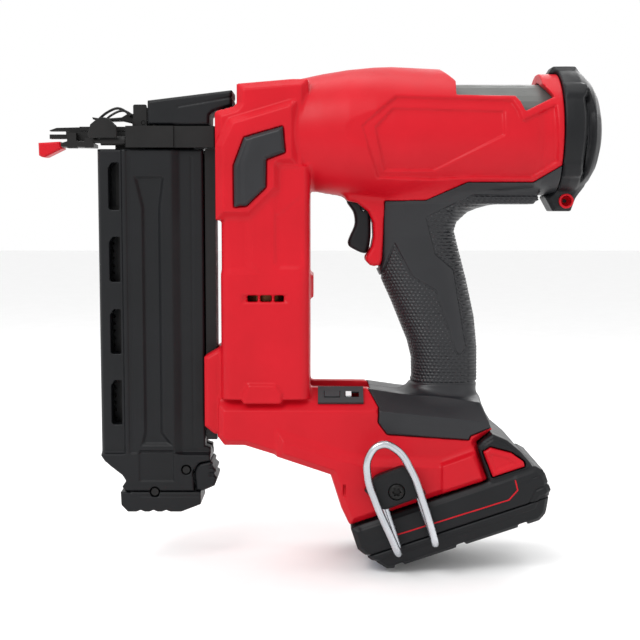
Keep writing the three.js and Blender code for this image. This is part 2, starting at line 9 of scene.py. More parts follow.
import bpy
import numpy as np
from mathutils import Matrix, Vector


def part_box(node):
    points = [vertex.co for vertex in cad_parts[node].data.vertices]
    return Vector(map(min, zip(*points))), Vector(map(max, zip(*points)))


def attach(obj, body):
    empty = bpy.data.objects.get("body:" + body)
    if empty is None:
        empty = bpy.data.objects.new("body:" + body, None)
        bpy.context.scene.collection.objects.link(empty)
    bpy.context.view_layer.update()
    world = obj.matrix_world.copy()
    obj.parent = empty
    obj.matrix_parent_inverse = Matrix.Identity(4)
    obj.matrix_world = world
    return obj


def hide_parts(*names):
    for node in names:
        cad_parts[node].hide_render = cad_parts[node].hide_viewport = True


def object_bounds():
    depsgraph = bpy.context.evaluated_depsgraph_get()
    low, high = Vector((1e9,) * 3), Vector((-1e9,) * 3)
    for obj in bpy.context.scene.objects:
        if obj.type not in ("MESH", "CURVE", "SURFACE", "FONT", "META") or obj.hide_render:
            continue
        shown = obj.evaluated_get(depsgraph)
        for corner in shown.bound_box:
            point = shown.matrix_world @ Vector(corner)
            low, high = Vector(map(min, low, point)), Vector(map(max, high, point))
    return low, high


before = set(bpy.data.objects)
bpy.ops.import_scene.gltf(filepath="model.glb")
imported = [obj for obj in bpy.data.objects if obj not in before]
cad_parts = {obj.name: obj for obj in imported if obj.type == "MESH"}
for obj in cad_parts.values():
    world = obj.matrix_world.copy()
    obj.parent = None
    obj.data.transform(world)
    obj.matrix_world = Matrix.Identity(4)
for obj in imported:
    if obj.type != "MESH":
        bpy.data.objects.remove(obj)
cad_low, cad_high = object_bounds()

MM = 0.001
GAP = 0.25  # between the rubber and the shell
SEAM = 0.08  # from the middle plane to each half
NOSE_TIP = 1.9  # x of the nose gate's tip in tool coordinates
DRAFT = 1.0  # coarser grids while trying things

gate_low, gate_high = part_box("nose_gate")
cylinder_low, cylinder_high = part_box("drive_cylinder")
TOOL_ORIGIN = Vector((
    gate_low.x - NOSE_TIP * MM,
    0,
    (cylinder_low.z + cylinder_high.z) / 2,
))
PACK_TILT = math.radians(18.5)


def at(x, y, z):
    """A point in tool millimetres as a point of the frame in metres."""
    return TOOL_ORIGIN + Vector((x, y, z)) * MM


# ---------------------------------------------------------------- distance fields
def grid(low, high, step):
    """Open coordinate arrays over a box with one step to spare all round."""
    axes = [np.arange(a - 2 * step, b + 2.5 * step, step) for a, b in zip(low, high)]
    return axes[0][:, None, None], axes[1][None, :, None], axes[2][None, None, :]


def polygon(x, z, corners):
    """Signed distance to a closed outline, negative inside."""
    x, z = np.broadcast_arrays(x, z)
    nearest = np.full(x.shape, 1e9)
    inside = np.zeros(x.shape, bool)
    for (ax, az), (bx, bz) in zip(corners, corners[1:] + corners[:1]):
        ex, ez = bx - ax, bz - az
        share = np.clip(((x - ax) * ex + (z - az) * ez) / (ex * ex + ez * ez), 0, 1)
        nearest = np.minimum(nearest, (x - ax - share * ex) ** 2 + (z - az - share * ez) ** 2)
        crosses = (az > z) != (bz > z)
        inside ^= crosses & (x < ax + ex * (z - az) / (ez if ez else 1e-9))
    return np.where(inside, -1, 1) * np.sqrt(nearest)


def polyline(x, z, points):
    """Distance to an open line."""
    nearest = 1e9
    for (ax, az), (bx, bz) in zip(points, points[1:]):
        ex, ez = bx - ax, bz - az
        share = np.clip(((x - ax) * ex + (z - az) * ez) / (ex * ex + ez * ez), 0, 1)
        nearest = np.minimum(nearest, np.hypot(x - ax - share * ex, z - az - share * ez))
    return nearest


def smooth(corners, cuts=5):
    """A closed outline that curves evenly through its corners."""
    points = []
    for index in range(len(corners)):
        a, b, c, d = (np.array(corners[(index + k) % len(corners)], float) for k in (-1, 0, 1, 2))
        for cut in range(cuts):
            t = cut / cuts
            curved = b + 0.5 * t * (c - a + t * (2 * a - 5 * b + 4 * c - d + t * (3 * (b - c) + d - a)))
            points.append(tuple(curved))
    return points


def slab(a, b, rim):
    """Where both fields are inside, with a rounded rim."""
    a, b = a + rim, b + rim
    return np.minimum(np.maximum(a, b), 0) + np.hypot(np.maximum(a, 0), np.maximum(b, 0)) - rim


def chamfered(a, b, rim):
    """Where both fields are inside, with a flat chamfer."""
    return np.maximum(np.maximum(a, b), (a + b + rim) * math.sqrt(0.5))


def join(a, b, fillet=0.0):
    """Either field, with a fillet where they meet."""
    if not fillet:
        return np.minimum(a, b)
    near = np.maximum(fillet - np.abs(a - b), 0) / fillet
    return np.minimum(a, b) - near * near * fillet / 4


def raised(field, mask, height, edge):
    """The surface lifted by height inside the mask (negative there), climbing over the width of edge."""
    return field - height * np.clip(-mask / edge, 0, 1)


def grooved(field, distance, depth, width):
    """A V-shaped groove along where distance is 0."""
    return field + depth * np.clip(1 - np.abs(distance) / width, 0, 1)


def span(value, low, high):
    """Negative between low and high."""
    return np.maximum(low - value, value - high)


def block(x, y, z, low, high):
    """A box between two corners."""
    flat = np.maximum(span(x, low[0], high[0]), span(y, low[1], high[1]))
    return np.maximum(flat, span(z, low[2], high[2]))


def curve(value, stations):
    """The height at value, interpolated between (where, height) stations."""
    where, heights = zip(*sorted(stations))
    return np.interp(value, where, heights)


def cell_points(field, cells):
    """For each cell, the mean of the points where the surface crosses its edges."""
    total = np.zeros((len(cells), 3))
    hits = np.zeros(len(cells))
    for axis in range(3):
        others = [a for a in range(3) if a != axis]
        for i, j in ((0, 0), (0, 1), (1, 0), (1, 1)):
            corner = cells.copy()
            corner[:, others[0]] += i
            corner[:, others[1]] += j
            far = corner.copy()
            far[:, axis] += 1
            a, b = field[tuple(corner.T)], field[tuple(far.T)]
            crosses = (a < 0) != (b < 0)
            point = corner.astype(float)
            point[:, axis] += np.where(crosses, a / np.where(crosses, a - b, 1), 0)
            total += point * crosses[:, None]
            hits += crosses
    return total / hits[:, None]


def edge_quads(inside, index, axis):
    """A quad round each grid edge along the axis that the surface crosses, facing outward."""
    u, v = (axis + 1) % 3, (axis + 2) % 3
    near = [slice(1, None)] * 3
    near[axis] = slice(0, -1)
    far = list(near)
    far[axis] = slice(1, None)
    here, there = inside[tuple(near)], inside[tuple(far)]
    edges = np.argwhere(here != there)
    leaving = here[tuple(edges.T)]
    start = edges + 1
    start[:, axis] -= 1
    ring = []
    for du, dv in ((0, 0), (1, 0), (1, 1), (0, 1)):
        cell = start.copy()
        cell[:, u] -= du
        cell[:, v] -= dv
        ring.append(cell)
    in_grid = [np.all((cell >= 0) & (cell < np.array(index.shape)), axis=1) for cell in ring]
    kept = np.all(in_grid, axis=0)
    loop = np.stack([index[tuple(cell[kept].T)] for cell in ring], axis=1)
    return np.where(leaving[kept][:, None], loop, loop[:, ::-1])


def surface_net(field, axes):
    """Vertices and outward quads of the surface where the field is 0."""
    inside = field < 0
    shape = np.array(field.shape)
    count = sum(
        inside[i:shape[0] - 1 + i, j:shape[1] - 1 + j, k:shape[2] - 1 + k].astype(np.int8)
        for i in (0, 1) for j in (0, 1) for k in (0, 1)
    )
    cells = np.argwhere((count > 0) & (count < 8))
    index = np.full(count.shape, -1, np.int64)
    index[tuple(cells.T)] = np.arange(len(cells))
    step = [axis.ravel()[1] - axis.ravel()[0] for axis in axes]
    origin = [axis.ravel()[0] for axis in axes]
    quads = [edge_quads(inside, index, axis) for axis in range(3)]
    return cell_points(field, cells) * step + origin, np.concatenate(quads)


# ---------------------------------------------------------------- pieces
def add_object(name, data):
    """A new object of the scene that shows data."""
    added = bpy.data.objects.new(name, data)
    bpy.context.scene.collection.objects.link(added)
    return added


def mesh_object(name, points, quads, material):
    """A smooth-shaded mesh of four-sided faces."""
    mesh = bpy.data.meshes.new(name)
    mesh.vertices.add(len(points))
    mesh.vertices.foreach_set("co", np.asarray(points, np.float32).ravel())
    mesh.loops.add(quads.size)
    mesh.loops.foreach_set("vertex_index", quads.astype(np.int32).ravel())
    mesh.polygons.add(len(quads))
    mesh.polygons.foreach_set("loop_start", np.arange(0, quads.size, 4, dtype=np.int32))
    mesh.update(calc_edges=True)
    mesh.validate()
    mesh.shade_smooth()
    mesh.materials.append(material)
    return add_object(name, mesh)


def finish_piece(piece, body, slot, *nodes):
    """The piece rides its body, in place of any nodes named; slot is not used."""
    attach(piece, body)
    if nodes:
        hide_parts(*nodes)
    return piece


def moulded(name, shape, low, high, step, material, in_pack=False):
    """A mesh of shape(x, y, z) over the box low to high, in tool or battery millimetres."""
    axes = grid(low, high, step * DRAFT)
    points, quads = surface_net(np.ascontiguousarray(shape(*axes)), axes)
    if in_pack:
        c, s = math.cos(PACK_TILT), math.sin(PACK_TILT)
        turn = np.array([[c, 0, -s], [0, 1, 0], [s, 0, c]])
        points = points @ turn.T * MM
    else:
        points = points * MM + np.array(TOOL_ORIGIN)
    return mesh_object(name, points, quads, material)


def mirrored(piece, name):
    """The same piece on the far side."""
    mesh = piece.data.copy()
    points = np.empty(len(mesh.vertices) * 3, np.float32)
    mesh.vertices.foreach_get("co", points)
    points[1::3] *= -1
    mesh.vertices.foreach_set("co", points)
    mesh.flip_normals()
    return add_object(name, mesh)


def wire(name, points, radius, material, sides=10):
    """A bent wire through points of the frame."""
    data = bpy.data.curves.new(name, "CURVE")
    data.dimensions = "3D"
    data.bevel_depth = radius
    data.bevel_resolution = sides // 2
    data.use_fill_caps = True
    data.resolution_u = 12
    spline = data.splines.new("BEZIER")
    spline.bezier_points.add(len(points) - 1)
    for knot, point in zip(spline.bezier_points, points):
        knot.co = point
        knot.handle_left_type = knot.handle_right_type = "AUTO"
    shown = add_object(name + "_curve", data)
    graph = bpy.context.evaluated_depsgraph_get()
    mesh = bpy.data.meshes.new_from_object(shown.evaluated_get(graph))
    bpy.data.objects.remove(shown)
    mesh.name = name
    mesh.shade_smooth()
    mesh.materials.clear()
    mesh.materials.append(material)
    return add_object(name, mesh)


# ---------------------------------------------------------------- materials
def node_material(name, metallic=0.0):
    """An empty node material with its tree and shader."""
    material = bpy.data.materials.new(name)
    material.use_nodes = True
    shader = material.node_tree.nodes["Principled BSDF"]
    shader.inputs["Metallic"].default_value = metallic
    return material, material.node_tree, shader


def noise(tree, scale, detail=4.0, stretch=None):
    """Noise over the object's own coordinates; scale is in waves a metre."""
    coordinates = tree.nodes.new("ShaderNodeTexCoord")
    source = coordinates.outputs["Object"]
    if stretch:
        mapping = tree.nodes.new("ShaderNodeMapping")
        mapping.inputs["Scale"].default_value = stretch
        tree.links.new(source, mapping.inputs["Vector"])
        source = mapping.outputs["Vector"]
    texture = tree.nodes.new("ShaderNodeTexNoise")
    texture.inputs["Scale"].default_value = scale
    texture.inputs["Detail"].default_value = detail
    tree.links.new(source, texture.inputs["Vector"])
    return texture.outputs["Fac"]


def ramp(tree, source, low, high, start=0.3, end=0.7):
    """A colour ramp between two greys or colours."""
    node = tree.nodes.new("ShaderNodeValToRGB")
    for element, place, value in zip(node.color_ramp.elements, (start, end), (low, high)):
        element.position = place
        element.color = (*value, 1) if isinstance(value, tuple) else (value, value, value, 1)
    tree.links.new(source, node.inputs["Fac"])
    return node.outputs["Color"]


def finish_surface(name, colour, shade, rough, grain, depth, metallic=0.0, specular=0.5, stretch=None):
    """A finish whose colour drifts towards shade, with uneven gloss and a fine grain of depth metres."""
    material, tree, shader = node_material(name, metallic)
    shader.inputs["Specular IOR Level"].default_value = specular
    tree.links.new(ramp(tree, noise(tree, 35, 3), colour, shade), shader.inputs["Base Color"])
    tree.links.new(ramp(tree, noise(tree, 120, 5), rough[0], rough[1]), shader.inputs["Roughness"])
    bump = tree.nodes.new("ShaderNodeBump")
    bump.inputs["Distance"].default_value = depth
    bump.inputs["Strength"].default_value = 0.6
    tree.links.new(noise(tree, grain, 3, stretch), bump.inputs["Height"])
    tree.links.new(bump.outputs["Normal"], shader.inputs["Normal"])
    return material


RED = finish_surface(
    "red_moulding", (0.50, 0.0035, 0.012), (0.45, 0.003, 0.010),
    (0.36, 0.44), 2600, 0.00005, 0, 0.2)
BLACK = finish_surface(
    "black_moulding", (0.0055, 0.006, 0.0075), (0.004, 0.0045, 0.0055),
    (0.40, 0.50), 2400, 0.00008, 0, 0.24)
RUBBER = finish_surface(
    "soft_rubber", (0.009, 0.0095, 0.012), (0.007, 0.0075, 0.0095),
    (0.36, 0.48), 2000, 0.00006, 0, 0.42)
DARK_STEEL = finish_surface(
    "phosphated_steel", (0.0115, 0.011, 0.011), (0.0075, 0.0073, 0.0073),
    (0.36, 0.5), 1500, 0.00005, 0.3, 0.3)
BRIGHT_STEEL = finish_surface(
    "bright_steel", (0.56, 0.58, 0.61), (0.45, 0.47, 0.50),
    (0.2, 0.32), 900, 0.00001, 1.0, 0.5, (1, 1, 6))
CYLINDER = finish_surface(
    "grey_tube", (0.105, 0.11, 0.105), (0.085, 0.09, 0.085),
    (0.38, 0.48), 700, 0.00002, 0.2, 0.3)
PANEL = finish_surface(
    "control_panel", (0.035, 0.036, 0.039), (0.028, 0.029, 0.031),
    (0.4, 0.5), 2400, 0.00003, 0, 0.3)
WHITE = finish_surface(
    "white_mark", (0.68, 0.68, 0.69), (0.6, 0.6, 0.61),
    (0.4, 0.5), 2400, 0.00002)
COPPER = finish_surface(
    "windings", (0.16, 0.06, 0.022), (0.10, 0.04, 0.015),
    (0.3, 0.4), 900, 0.0001, 0.8)
BOARD = finish_surface(
    "circuit_board", (0.012, 0.10, 0.035), (0.008, 0.07, 0.02),
    (0.3, 0.4), 600, 0.00003)
CELLS = finish_surface(
    "cell_wrap", (0.03, 0.12, 0.32), (0.02, 0.09, 0.25),
    (0.25, 0.35), 500, 0.00003)

# ---------------------------------------------------------------- camera, light and floor
VIEW_TARGET = at(158.7, 0, -109.2)  # middle of the picture
VIEW_DISTANCE = 0.72
VIEW_ELEVATION = math.radians(5)
VIEW_WIDTH = 0.3776  # width seen at the target
SENSOR_WIDTH = 36
FLOOR_REACH = 6.0
FLOOR_GAP = 0.0005


def add_camera():
    """The photograph's viewing angle, square on and slightly raised."""
    data = bpy.data.cameras.new("camera")
    data.sensor_width = SENSOR_WIDTH
    data.lens = SENSOR_WIDTH * VIEW_DISTANCE / VIEW_WIDTH
    data.clip_start = 0.01
    camera = add_object("camera", data)
    back = Vector((0, -math.cos(VIEW_ELEVATION), math.sin(VIEW_ELEVATION)))
    camera.location = VIEW_TARGET + back * VIEW_DISTANCE
    camera.rotation_euler = (-back).to_track_quat("-Z", "Y").to_euler()
    bpy.context.scene.camera = camera


def add_area_light(name, offset, size, watts):
    """A soft light that faces the middle of the picture."""
    data = bpy.data.lights.new(name, "AREA")
    data.shape = "RECTANGLE"
    data.size, data.size_y = size
    data.energy = watts
    light = add_object(name, data)
    light.location = VIEW_TARGET + Vector(offset)
    light.rotation_euler = (-Vector(offset)).to_track_quat("-Z", "Y").to_euler()


def add_studio():
    """A white surround and four soft lights."""
    world = bpy.data.worlds.new("studio")
    world.use_nodes = True
    world.node_tree.nodes["Background"].inputs["Color"].default_value = (1, 1, 1, 1)
    world.node_tree.nodes["Background"].inputs["Strength"].default_value = 1.0
    bpy.context.scene.world = world
    bpy.context.scene.view_settings.view_transform = "Standard"
    add_area_light("key_light", (-0.55, -0.75, 0.9), (0.6, 0.6), 8.5)
    add_area_light("fill_light", (0.9, -0.7, 0.35), (0.5, 0.9), 0.8)
    add_area_light("top_light", (0.1, 0.15, 1.0), (0.9, 0.4), 3.2)
    add_area_light("rim_light", (0.5, 0.8, 0.5), (0.6, 0.6), 3.0)


def add_floor():
    """A pale square just under the tool."""
    mesh = bpy.data.meshes.new("floor")
    reach = FLOOR_REACH
    low = cad_low.z - FLOOR_GAP
    corners = [(-reach, -reach, low), (reach, -reach, low), (reach, reach, low), (-reach, reach, low)]
    mesh.from_pydata(corners, [], [(0, 1, 2, 3)])
    mesh.materials.append(finish_surface("pale_floor", (0.92, 0.92, 0.92), (0.90, 0.90, 0.90),
                                         (0.6, 0.7), 60, 0.0001))
    add_object("floor", mesh)


# ---------------------------------------------------------------- housing
BARREL_DROP = -1.0
ARM_SLOPE = math.radians(42)
SLOPE_EDGE = (17, -145)  # y and z where the arm's upper slope starts
BARREL_PROFILE = [(112, 25), (130, 29), (146, 31.6), (160, 34.6), (175, 37), (190, 38.4), (200, 38.7),
                  (229, 37.3), (262, 36.4), (280, 35.4), (284, 34.6), (295, 34.8)]
COVER_SIDE = [(99.6, 9.6), (101, 10.8), (110.6, 13.6), (112, 15.4), (112, 25.8), (143, 28.4),
              (152, 28.4), (152, -38), (137, -50.5), (100, -50.5)]
COVER_PANEL = [(100, -8), (107.4, 7), (142.6, 17.4), (147, 17), (147, -20.6), (137.2, -20.6),
               (137.2, -34), (120.5, -50), (100, -50)]
PAD_SIDE = [(110.7, -20.1), (116.6, -4.5), (138, 1.6), (139.2, -12.7), (128.7, -16.6), (128.4, -32),
            (117.6, -42.4), (110.8, -43)]
SIDE_PANEL = [(180.5, 2), (200.5, 18.6), (266, 16.6), (269.5, 11), (271.5, 5.6), (290.5, 14.5),
              (292.5, -18), (278.5, -26.8), (242, -26.8), (221, -28), (190.5, -27)]
SIDE_FLOOR = [(188.5, 1), (198.8, 12), (261.5, 10.5), (261.7, -3.5), (223, -23), (194, -23)]
CYLINDER_WINDOW = [(226, 50), (226, 37.5), (235, 27.5), (234.5, 19.2), (267.5, 18.8), (270.2, 15.5),
                   (272.7, 10), (289.5, 18.4), (284, 26), (284, 50)]
ARM_SIDE = [(101, -151.5), (110, -146), (187, -147), (193, -157), (238, -159), (257.3, -169),
            (248, -176.5), (254.2, -197.6), (175.8, -224), (171.3, -214.6), (165, -195), (158, -192),
            (115.5, -178.6), (104, -178.5), (100.2, -173.5)]
FOOT_SIDE = [(134, -170), (170, -181.8), (184, -185.4), (228, -186), (246.5, -179.5), (254.2, -197.6),
             (175.8, -224), (171.3, -214.6), (165, -195), (134, -184.6)]
FOOT_PANEL = [(227.1, -188), (247.6, -180.4), (252.5, -198.6), (227.3, -206.6)]
BRACKET_SIDE = [(92.3, -128.4), (105.4, -120.9), (112, -120.9), (112, -173), (97.8, -173.1), (92.3, -168.6)]
SKIRT_SIDE = [(186.4, -147.2), (192.2, -156.5), (191.8, -165), (196.9, -171.8), (243.4, -175),
              (244.3, -172.6), (256, -168), (251, -155), (205, -150)]
BAND_SIDE = [(195.9, -34), (195.9, -39.6), (219.3, -39.2), (242.3, -29.2), (279.5, -29.2), (294.4, -20),
             (294.4, -60), (188, -60), (188, -41)]
RUBBER_LIMIT = [(195.9, -39.6), (219.3, -39.2), (242.3, -29.2), (279.5, -29.2), (294.4, -20),
                (294.4, -180), (150, -180), (150, -78.6), (192.8, -78.6), (194.6, -75), (195.4, -58)]
BAND_EDGE = [(236, -28), (284, -28), (284, -39), (281, -41.3), (240, -41.3), (234, -44)]
GUARD_SIDE = [(172, -34), (174.5, -39.4), (180, -40.5), (186.4, -45.5), (189.2, -52), (189.6, -60),
              (188.4, -66), (186.2, -69.8), (185, -72), (185.2, -74), (187.5, -76.4), (190, -77),
              (193.4, -76.2), (194.5, -73), (195.4, -60), (196.2, -44), (196.4, -34)]
HANDLE_FRONT = [(-30, 188), (-41, 189), (-60, 190), (-70, 190.3), (-78, 191.4), (-97, 200.1),
                (-121, 209.9), (-131, 212.3), (-142, 212.5), (-148, 210.5), (-153, 206.5), (-158, 201),
                (-166, 193)]
HANDLE_REAR = [(-30, 262), (-38, 262), (-41, 255), (-46, 244.5), (-51.6, 238.5), (-56.5, 237),
               (-61.5, 238.2), (-72, 241), (-85, 244.4), (-107, 249.2), (-125, 251), (-143, 251.2),
               (-152, 250.4), (-158, 251.5), (-163, 254), (-168, 258)]
HANDLE_HALF = [(-30, 22), (-41, 17.2), (-60, 15.5), (-78, 15), (-100, 16.2), (-120, 17), (-140, 16.5),
               (-152, 17.5), (-160, 21), (-168, 26)]


def barrel(x, y, z, swell=0.0):
    """The round body over the drive cylinder."""
    radius = curve(x, BARREL_PROFILE) + swell
    return np.maximum(np.hypot(y, z - BARREL_DROP) - radius, span(x, 114, 294.5))


def handle(x, y, z, swell=0.0):
    """An oval section between the front and rear lines, wider across the knuckles."""
    front, rear, half = curve(z, HANDLE_FRONT), curve(z, HANDLE_REAR), curve(z, HANDLE_HALF)
    along = (x - (front + rear) / 2) / ((rear - front) / 2 + swell)
    across = y / (half + swell)
    power = 2.5
    ring = (np.abs(along) ** power + np.abs(across) ** power) ** (1 / power)
    return np.maximum((ring - 1) * half, span(z, -168, -30))


def skirt_slope(x, side, z):
    """The collar's upper face, which drops towards the rear."""
    crease = z + 158.5 + (x - 192) * 0.1
    return (side - 33 + crease * 1.3) / 1.64


def skirt(x, side, z):
    """The rubber collar that wraps the foot below the handle, with its upper face sloping in."""
    return np.maximum(slab(polygon(x, z, SKIRT_SIDE), side - 33, 1.5), skirt_slope(x, side, z))


def rubber_body(x, y, z):
    """Everything that the rubber covers, with the rubber on it."""
    side = np.abs(y)
    band = np.maximum(barrel(x, y, z, 0.7), polygon(x, z, BAND_SIDE))
    under = np.maximum(band, z + 20)
    edge = slab(polygon(x, z, BAND_EDGE), side - 17, 3)
    shape = join(handle(x, y, z), join(under, edge, 2), 5)
    shape = join(shape, skirt(x, side, z), 7)
    return np.maximum(shape, polygon(x, z, RUBBER_LIMIT))


def rubber_core(x, y, z):
    """The hard plastic that the rubber is moulded round."""
    side = np.abs(y)
    arm = np.maximum(slab(polygon(x, z, ARM_SIDE), side - 28, 1), skirt_slope(x, side, z) + 2.5)
    return join(join(handle(x, y, z, -2.6), barrel(x, y, z, -1.8)), arm)


def motor_column(x, side, z):
    """The upright over the motor, with its recesses, vent and pads."""
    across = slab(span(x, 102.4, 153), side - 31, 6.5)
    shape = np.maximum(across, span(z, -152, -20))
    recess = polygon(x, z, [(132.5, -20), (149.8, -20), (149.8, -78), (135, -78), (132.5, -75)])
    shape = raised(shape, recess, -1.1, 2.2)
    left_recess = polygon(x, z, [(100, -40), (121, -40), (121, -74), (125, -81), (100, -81)])
    shape = raised(shape, left_recess, -0.7, 4)
    vent = polygon(x, z, [(114, -91.8), (141, -91.8), (141, -97.4), (114, -97.4)])
    shape = raised(shape, vent, -1.8, 2.6)
    pad = polygon(x, z, [(113.6, -156), (113.6, -149.5), (117.4, -142.2), (134, -142.4), (138, -148),
                         (138, -156)])
    shape = raised(shape, pad, 2.0, 2.0)
    bump = chamfered(np.maximum(span(x, 150, 154.8), span(z, -94.5, -82)), side - 18, 2)
    return join(shape, bump, 3)


def front_cover(x, side, z):
    """The faceted front of the housing, with a pocket for the bumper pad."""
    shape = chamfered(polygon(x, z, COVER_SIDE), side - 30, 4)
    panel = chamfered(polygon(x, z, COVER_PANEL), side - 34, 4.5)
    pocket = np.maximum(polygon(x, z, PAD_SIDE) - 0.5, 32.4 - side)
    return np.maximum(join(shape, panel), -pocket)


def across_slope(side, z):
    """Height above the arm's upper slope."""
    edge_y, edge_z = SLOPE_EDGE
    return (side - edge_y) * math.sin(ARM_SLOPE) + (z - edge_z) * math.cos(ARM_SLOPE)


def arm_and_foot(x, side, z):
    """The lower arm, the foot that takes the battery, and the magazine bracket."""
    slope = across_slope(side, z)
    body = np.maximum(chamfered(polygon(x, z, ARM_SIDE), side - 32, 3.5), slope)
    foot = chamfered(polygon(x, z, FOOT_SIDE), side - 36, 4)
    foot = raised(foot, polygon(x, z, FOOT_PANEL), 1.4, 1.2)
    slit = slab(span(x, 172, 173.4), span(z, -207, -200), 0.5)
    foot = np.maximum(foot, -np.maximum(slit, 34 - side))
    bracket = chamfered(polygon(x, z, BRACKET_SIDE), side - 24, 2)
    return join(join(body, foot, 2), bracket, 1.5)


def trigger_guard(x, y, z):
    """The strip behind the trigger, and the neck between the barrel and the rubber."""
    strip = slab(polygon(x, z, GUARD_SIDE), np.abs(y) - 13.5, 2.5)
    neck = np.maximum(handle(x, y, z), -polygon(x, z, RUBBER_LIMIT))
    neck = np.maximum(neck, span(z, -48, -20))
    return join(strip, np.maximum(neck, 188 - x), 1)


def cavities(x, y, z, side):
    """The rooms and openings cut out of the housing."""
    bore = np.maximum(np.hypot(y, z) - 28.3, 149 - x)
    lifter = block(x, y, z, (104, -26, -16), (149.5, 26, 15))
    nose_way = block(x, y, z, (90, -12.2, -9.6), (106, 12.2, 3.6))
    motor = np.maximum(np.hypot(x - 126.5, y) - 22.3, span(z, -146, -10))
    slots = block(x, side, z, (117.6, 12, -96.4), (138.2, 60, -92.6))
    ribs = np.minimum(span(x, 123.4, 124.9), span(x, 131.4, 132.9))
    slots = np.maximum(slots, -ribs)
    wires = block(x, y, z, (130, -12, -166), (205, 12, -140))
    trigger_slot = block(x, y, z, (140, -7.8, -73.5), (188.6, 7.8, -34))
    rail_seat = block(x, y, z, (80, -8.6, -174), (98.8, 8.6, -119))
    switch_room = np.maximum(handle(x, y, z, -5.5), span(z, -170, -45))
    window = polygon(x, z, CYLINDER_WINDOW)
    return [bore, lifter, nose_way, motor, slots, wires, trigger_slot, rail_seat, switch_room, window]


def in_battery(x, z):
    """Tool coordinates turned into coordinates along and square to the battery."""
    dx, dz = x + TOOL_ORIGIN.x / MM, z + TOOL_ORIGIN.z / MM
    c, s = math.cos(PACK_TILT), math.sin(PACK_TILT)
    return dx * c + dz * s, dz * c - dx * s


def housing_shape(x, y, z):
    """One half of the housing, without the control opening."""
    side = np.abs(y)
    body = barrel(x, y, z)
    recess = polygon(x, z, SIDE_PANEL)
    body = raised(body, recess, -1.9, 1.6)
    body = raised(body, polygon(x, z, SIDE_FLOOR), -1.5, 1.4)
    body = np.maximum(body, side - 36.6)
    body = join(body, motor_column(x, side, z), 3)
    body = join(body, front_cover(x, side, z), 1.5)
    body = join(body, arm_and_foot(x, side, z), 2)
    body = join(body, handle(x, y, z, -2.6), 1)
    body = join(body, trigger_guard(x, y, z), 3)
    for hollow in cavities(x, y, z, side):
        body = np.maximum(body, -hollow)
    along, up = in_battery(x, z)
    rails = np.maximum(np.maximum(span(along, -38, 40), span(up, 30, 47)), side - 25)
    electronics = np.maximum(np.maximum(span(along, -46, 21), span(up, 46, 61)), side - 26)
    body = np.maximum(np.maximum(body, -rails), -electronics)
    body = np.maximum(body, 32.3 - up)
    core = rubber_core(x, y, z)
    covered = np.minimum(rubber_body(x, y, z), polygon(x, z, SKIRT_SIDE))
    body = np.maximum(body, GAP - np.maximum(covered, -core))
    return np.maximum(body, y + SEAM)


def control_pocket(x, side, z):
    """The opening for the controls in the arm's near slope."""
    edge_y, edge_z = SLOPE_EDGE
    down = (side - edge_y) * math.cos(ARM_SLOPE) - (z - edge_z) * math.sin(ARM_SLOPE)
    opening = np.maximum(span(x, 159.5, 181.5), span(down, 4.5, 13.5))
    return np.maximum(opening, -9 - across_slope(side, z))


def near_housing(x, y, z):
    """The near half, which has the control opening."""
    return np.maximum(housing_shape(x, y, z), -control_pocket(x, -y, z))


def add_housing():
    box_low, box_high = (91, -38, -226), (295, 0, 40)
    near = moulded("housing_left_shell", near_housing, box_low, box_high, 0.7, RED)
    plain = moulded("plain_half", housing_shape, box_low, box_high, 0.7, RED)
    far = mirrored(plain, "housing_right_shell")
    bpy.data.objects.remove(plain)
    finish_piece(near, "tool_body", "red_shell", "housing_left")
    finish_piece(far, "tool_body", "red_shell", "housing_right")


# ---------------------------------------------------------------- rubber grip
GRIP_FRONT_EDGE = [(201.5, -63.9), (212.1, -83.2), (225.5, -90.9), (237.3, -126.4), (239.6, -128.4),
                   (243.3, -124), (235.9, -78.5), (225.3, -69.8), (219.7, -48.9), (246.5, -36.1)]
SMOOTH_BAND = GRIP_FRONT_EDGE + [(246.5, -20), (180, -20), (180, -85), (193.5, -85)]


def scales(along, up):
    """Staggered rows of small raised scales, 0 in the furrows and 1 on top."""
    row = np.floor(up / 1.9)
    across = np.abs(np.mod(along / 2.9 + row / 2, 1) - 0.5)
    rise = np.abs(np.mod(up / 1.9, 1) - 0.5)
    return np.clip((0.5 - across) * 4.5, 0, 1) * np.clip((0.5 - rise) * 3.2, 0, 1)


def grip_shape(x, y, z):
    """One half of the rubber grip, with its scaled sides."""
    side = np.abs(y)
    body = rubber_body(x, y, z)
    middle = polygon(x, z, SMOOTH_BAND)
    textured = np.maximum(-middle, span(z, -145, -36.5))
    depth = np.clip(-textured / 0.8, 0, 1)
    around = x + 0.8 * side
    body = body + depth * np.clip(side / 7, 0.25, 1) * (0.55 - 0.55 * scales(around, z))
    body = grooved(body, textured, 0.8, 0.8)
    body = np.maximum(body, -rubber_core(x, y, z))
    return np.maximum(body, y + SEAM)


def add_grip():
    half = moulded("grip_left_rubber", grip_shape, (184, -39, -178), (295, 0, -18), 0.42, RUBBER)
    other = mirrored(half, "grip_right_rubber")
    finish_piece(half, "tool_body", "grip_rubber", "grip_left")
    finish_piece(other, "tool_body", "grip_rubber", "grip_right")


